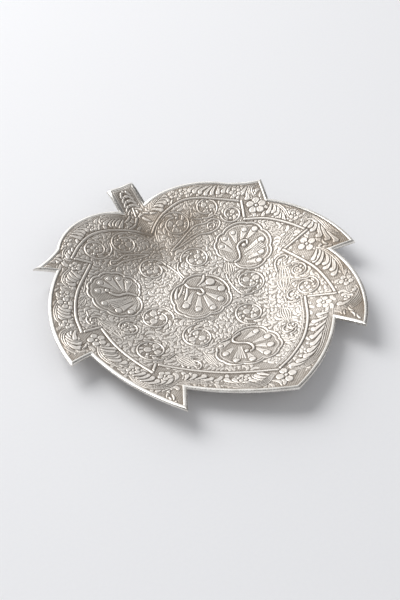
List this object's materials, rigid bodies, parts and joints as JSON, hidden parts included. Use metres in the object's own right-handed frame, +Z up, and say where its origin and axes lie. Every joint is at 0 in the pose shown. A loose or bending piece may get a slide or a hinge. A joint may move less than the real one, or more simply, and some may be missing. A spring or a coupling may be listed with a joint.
{
  "type": "offering plate",
  "caption": "Shallow leaf-shaped offering dish in embossed white metal, with toothed sides, a square stem tab and a plain bound edge.",
  "frame": {"origin": "centre of the flat base that the dish stands on, under the middle of the rosette", "axes": "+Z up, +Y towards the stem tab, +X to the right side of the leaf seen from above"},
  "size_m": [0.2511, 0.2595, 0.0204],
  "materials": {
    "embossed_metal": "silver-coloured white metal with dark patina in the recesses of the relief",
    "strip_metal": "the same metal, plain and polished by handling"
  },
  "bodies": {
    "root": {"embossed_dish": "embossed_metal", "stem_strip": "strip_metal", "lobe_strip_right": "strip_metal", "lobe_strip_left": "strip_metal", "upper_strip_right": "strip_metal", "upper_strip_left": "strip_metal", "lower_strip_right": "strip_metal", "lower_strip_left": "strip_metal", "point_strip_right": "strip_metal", "point_strip_left": "strip_metal"}
  },
  "joints": []
}
